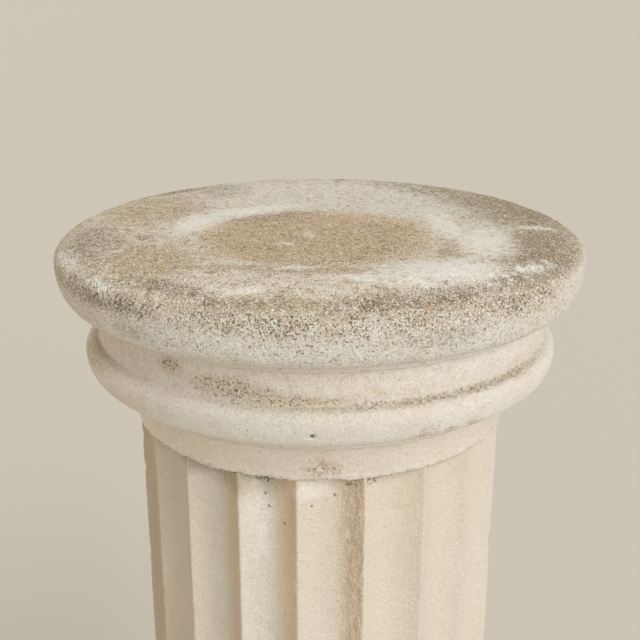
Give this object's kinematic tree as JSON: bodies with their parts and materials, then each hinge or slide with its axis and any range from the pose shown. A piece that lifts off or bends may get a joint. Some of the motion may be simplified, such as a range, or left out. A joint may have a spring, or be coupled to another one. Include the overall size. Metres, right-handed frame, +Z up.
{
  "type": "doric column",
  "caption": "Round cast-stone Doric column with a flat-topped moulded capital, a fluted shaft and a round base, used as a pedestal.",
  "frame": {"origin": "centre of the underside of the base, on the surface it stands on", "axes": "+Z up the column's axis, -Y towards the viewer of the picture, +X to the viewer's right"},
  "size_m": [0.4, 0.4, 0.95],
  "materials": {
    "base_stone": "weathered sandy cast stone, damp-stained and lichened near the ground",
    "shaft_stone": "weathered cream cast stone with tan streaks and worn flutes",
    "capital_stone": "weathered sandy cast stone with algae specks, white bloom and a tan stain on top"
  },
  "bodies": {
    "root": {"base": "base_stone", "fluted_shaft": "shaft_stone", "capital": "capital_stone"}
  },
  "joints": []
}
